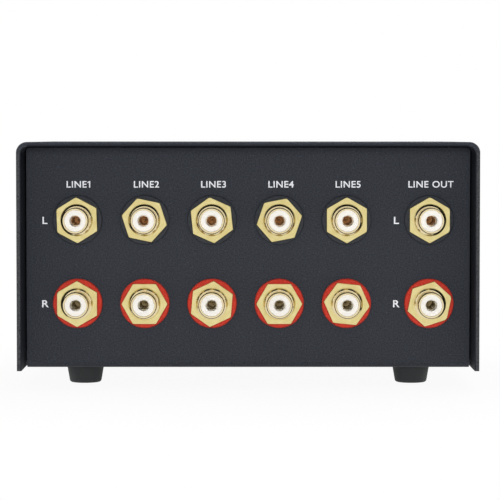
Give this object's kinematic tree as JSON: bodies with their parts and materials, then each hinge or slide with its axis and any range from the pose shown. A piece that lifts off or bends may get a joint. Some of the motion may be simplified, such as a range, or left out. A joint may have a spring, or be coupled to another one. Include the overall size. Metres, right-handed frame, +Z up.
{
  "type": "audio source selector",
  "caption": "Low steel box with rows of gold phono sockets under a rear hood and a rotary selector knob on the front, for switching one of several audio sources to an output.",
  "frame": {"origin": "middle of the outline, on the surface that the feet stand on", "axes": "+X to the right as seen facing the socket panel, +Y towards the front panel with the knob, so the sockets face -Y, +Z up"},
  "size_m": [0.149, 0.117, 0.0781],
  "materials": {
    "case_paint": "fine textured black powder coat",
    "screw_black": "black oxide",
    "foot_rubber": "matt moulded",
    "zinc_steel": "bright zinc plate",
    "black_fibre": "matt pressed",
    "red_fibre": "satin pressed",
    "tinned_brass": "bright tin plate",
    "gold_plate": "bright gold flash on turned brass",
    "contact_brass": "dull drilled brass",
    "insulator_white": "satin turned",
    "knob_black": "black anodised, turned",
    "pointer_white": "smooth",
    "screw_steel": "black oxide",
    "shaft_metal": "drawn and cut",
    "switch_plastic": "moulded",
    "rotor_plastic": "moulded",
    "wiper_copper": "rolled strip",
    "base_phenolic": "pressed laminate",
    "wire_white": "extruded sleeve",
    "wire_red": "extruded sleeve"
  },
  "bodies": {
    "case": {"chassis_tray": "case_paint", "top_cover": "case_paint", "cover_screws": "screw_black", "foot_rear_left": "foot_rubber", "foot_rear_right": "foot_rubber", "foot_front_left": "foot_rubber", "foot_front_right": "foot_rubber", "foot_screws": "zinc_steel", "foot_nuts": "zinc_steel", "toothed_washer": "zinc_steel", "panel_nut": "zinc_steel", "switch_bushing": "zinc_steel", "black_washers": "black_fibre", "inner_washers": "black_fibre", "red_washers": "red_fibre", "solder_lugs": "tinned_brass", "switch_terminals": "tinned_brass", "earth_bus": "tinned_brass", "socket_nuts": "gold_plate", "socket_shell_left_1": "gold_plate", "socket_shell_left_2": "gold_plate", "socket_shell_left_3": "gold_plate", "socket_shell_left_4": "gold_plate", "socket_shell_left_5": "gold_plate", "socket_shell_left_out": "gold_plate", "socket_shell_right_1": "gold_plate", "socket_shell_right_2": "gold_plate", "socket_shell_right_3": "gold_plate", "socket_shell_right_4": "gold_plate", "socket_shell_right_5": "gold_plate", "socket_shell_right_out": "gold_plate", "left_contacts": "contact_brass", "right_contacts": "contact_brass", "socket_insulator_left_1": "insulator_white", "socket_insulator_left_2": "insulator_white", "socket_insulator_left_3": "insulator_white", "socket_insulator_left_4": "insulator_white", "socket_insulator_left_5": "insulator_white", "socket_insulator_left_out": "insulator_white", "socket_insulator_right_1": "insulator_white", "socket_insulator_right_2": "insulator_white", "socket_insulator_right_3": "insulator_white", "socket_insulator_right_4": "insulator_white", "socket_insulator_right_5": "insulator_white", "socket_insulator_right_out": "insulator_white", "switch_housing": "switch_plastic", "terminal_base": "base_phenolic", "left_wires": "wire_white", "right_wires": "wire_red"},
    "selector": {"selector_knob": "knob_black", "knob_pointer": "pointer_white", "knob_set_screw": "screw_steel", "selector_shaft": "shaft_metal", "retaining_ring": "zinc_steel", "switch_rotor": "rotor_plastic", "wiper_contacts": "wiper_copper", "detent_balls": "zinc_steel", "detent_spring": "zinc_steel"}
  },
  "joints": [
    {"name": "selector_turn", "type": "hinge", "parent": "case", "child": "selector", "pos_m": [0, 0.0405, 0.0421], "axis": [0, -1, 0], "range_deg": [-60, 60]}
  ]
}
